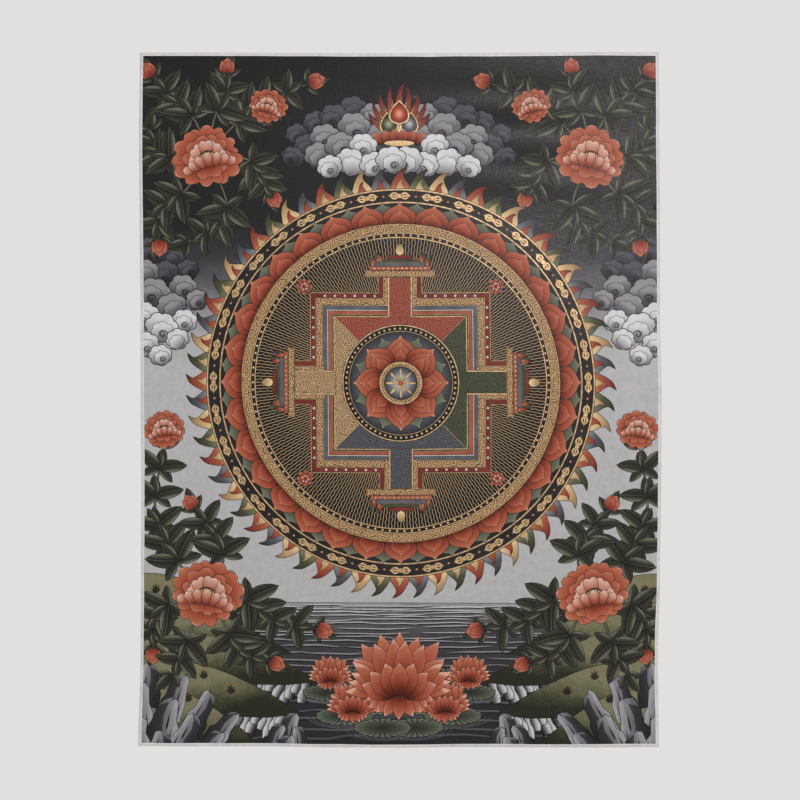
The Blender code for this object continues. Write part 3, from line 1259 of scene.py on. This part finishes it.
back_spots, _, back_triangles, *_ = delaunay_2d_cdt(bends, [], around, INSIDE_OUTLINES, WELD)
under = BVHTree.FromPolygons([(x, y, 0) for x, y in flat], triangles)

# The face fills most of the bake's map, with the cut edge and the back in columns beside it
BAKE_LEFT_AND_WIDTH = {"face": (0.005, 0.735), "edge": (0.746, 0.008), "back": (0.995, -0.235)}
BAKE_FOOT, BAKE_HIGH = 0.005, 0.99

used = {paint for shape, paint, own in layers}
paints = [primed_cotton, cotton_back] + sorted(used, key=lambda paint: paint.name)
paint_number = {paint: number for number, paint in enumerate(paints)}
cloth = bmesh.new()
shape_map = cloth.loops.layers.uv.new("shape")
bake_map = cloth.loops.layers.uv.new("OFBake")
at_rim = {}
for side, half, spots_here, triangles_here in (
    ("face", CLOTH_THICK / 2, face_spots, face_triangles),
    ("back", -CLOTH_THICK / 2, back_spots, back_triangles),
):
    left, wide = BAKE_LEFT_AND_WIDTH[side]
    corners_here = [cloth.verts.new(hung(x, y, half)) for x, y in spots_here]
    for (x, y), corner in zip(spots_here, corners_here):
        at_rim[side, round(x), round(y)] = corner
    for corners in triangles_here:
        order = corners if side == "face" else corners[::-1]
        triangle = cloth.faces.new([corners_here[k] for k in order])
        triangle.smooth = True
        own = Matrix()
        triangle.material_index = paint_number[primed_cotton if side == "face" else cotton_back]
        if side == "face":
            middle = sum((spots_here[k] for k in corners), Vector((0, 0))) / 3
            shape = last_laid[under.find_nearest(middle.to_3d())[2]]
            if shape:
                triangle.material_index = paint_number[layers[shape - 1][1]]
                own = layers[shape - 1][2]
        for loop, k in zip(triangle.loops, order):
            x, y = spots_here[k]
            loop[shape_map].uv = laid_at(own, x, y)
            share_across, share_up = x / CLOTH_WIDE + 0.5, 1 + y / CLOTH_HIGH
            loop[bake_map].uv = (left + wide * share_across, BAKE_FOOT + BAKE_HIGH * share_up)
left, wide = BAKE_LEFT_AND_WIDTH["edge"]
for k in range(len(edge)):
    start, end = [(round(x), round(y)) for x, y in (edge[k - 1], edge[k])]
    corners = (("back", *start), ("back", *end), ("face", *end), ("face", *start))
    rim = cloth.faces.new([at_rim[corner] for corner in corners])
    for loop, (across, along) in zip(rim.loops, ((0, k), (0, k + 1), (1, k + 1), (1, k))):
        loop[bake_map].uv = (left + wide * across, BAKE_FOOT + BAKE_HIGH * along / len(edge))

mesh = bpy.data.meshes.new("painted_thangka")
cloth.to_mesh(mesh)
painting = bpy.data.objects.new("painted_thangka", mesh)
bpy.context.scene.collection.objects.link(painting)
for paint in paints:
    mesh.materials.append(paint)
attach(painting, "root")
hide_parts("painted_cloth")

# ----------------------------------------
# Floor, lights and camera. A pale floor well below the hanging cloth and an even white studio, with
# one small lamp at the upper right whose gloss shows the swells, and a soft one for the back. The
# camera faces the cloth's middle square on.

FLOOR_LOW = 1.15
FLOOR_REACH = 1.6
DAYLIGHT = 0.88
LENS = 85
SENSOR = 36
VIEW_WIDE = 0.693  # metres across the whole frame, at the cloth
EYE_LEVEL = -CLOTH_HIGH / 2 * MM

# Matt paint: pale and plain, with no shine under the cloth
floor_paint = bpy.data.materials.new("matt_floor")
floor_paint.use_nodes = True
matt = floor_paint.node_tree.nodes["Principled BSDF"].inputs
matt["Base Color"].default_value = linear("#dcdad6")
floor_mesh = bpy.data.meshes.new("floor")
plane = bmesh.new()
bmesh.ops.create_grid(plane, x_segments=1, y_segments=1, size=FLOOR_REACH)
bmesh.ops.translate(plane, verts=plane.verts, vec=(0, 0, -FLOOR_LOW))
plane.to_mesh(floor_mesh)
floor_mesh.materials.append(floor_paint)
floor = bpy.data.objects.new("floor", floor_mesh)
bpy.context.scene.collection.objects.link(floor)

world = bpy.data.worlds.new("studio")
bpy.context.scene.world = world
world.use_nodes = True
sky = world.node_tree.nodes["Background"].inputs
sky["Color"].default_value = linear("#eeedeb")
sky["Strength"].default_value = DAYLIGHT


def softbox(name, place, size, power):
    """A round lamp of a size in metres and a power in watts, turned to the cloth's middle."""
    data = bpy.data.lights.new(name, "AREA")
    data.shape = "DISK"
    data.size = size
    data.energy = power
    data.color = linear("#fff7f9")[:3]
    lamp = bpy.data.objects.new(name, data)
    lamp.location = place
    towards = Vector((0, 0, EYE_LEVEL)) - Vector(place)
    lamp.rotation_euler = towards.to_track_quat("-Z", "Y").to_euler()
    bpy.context.scene.collection.objects.link(lamp)


softbox("gloss", (0.33, -1.75, 0.16), 0.3, 15)
softbox("back_fill", (-0.8, 1.6, 1.0), 0.9, 16)

camera_data = bpy.data.cameras.new("camera")
camera_data.lens = LENS
camera = bpy.data.objects.new("camera", camera_data)
camera.location = (0, -VIEW_WIDE * LENS / SENSOR, EYE_LEVEL)
camera.rotation_euler = (math.radians(90), 0, 0)
bpy.context.scene.collection.objects.link(camera)
bpy.context.scene.camera = camera
bpy.context.scene.view_settings.view_transform = "Standard"
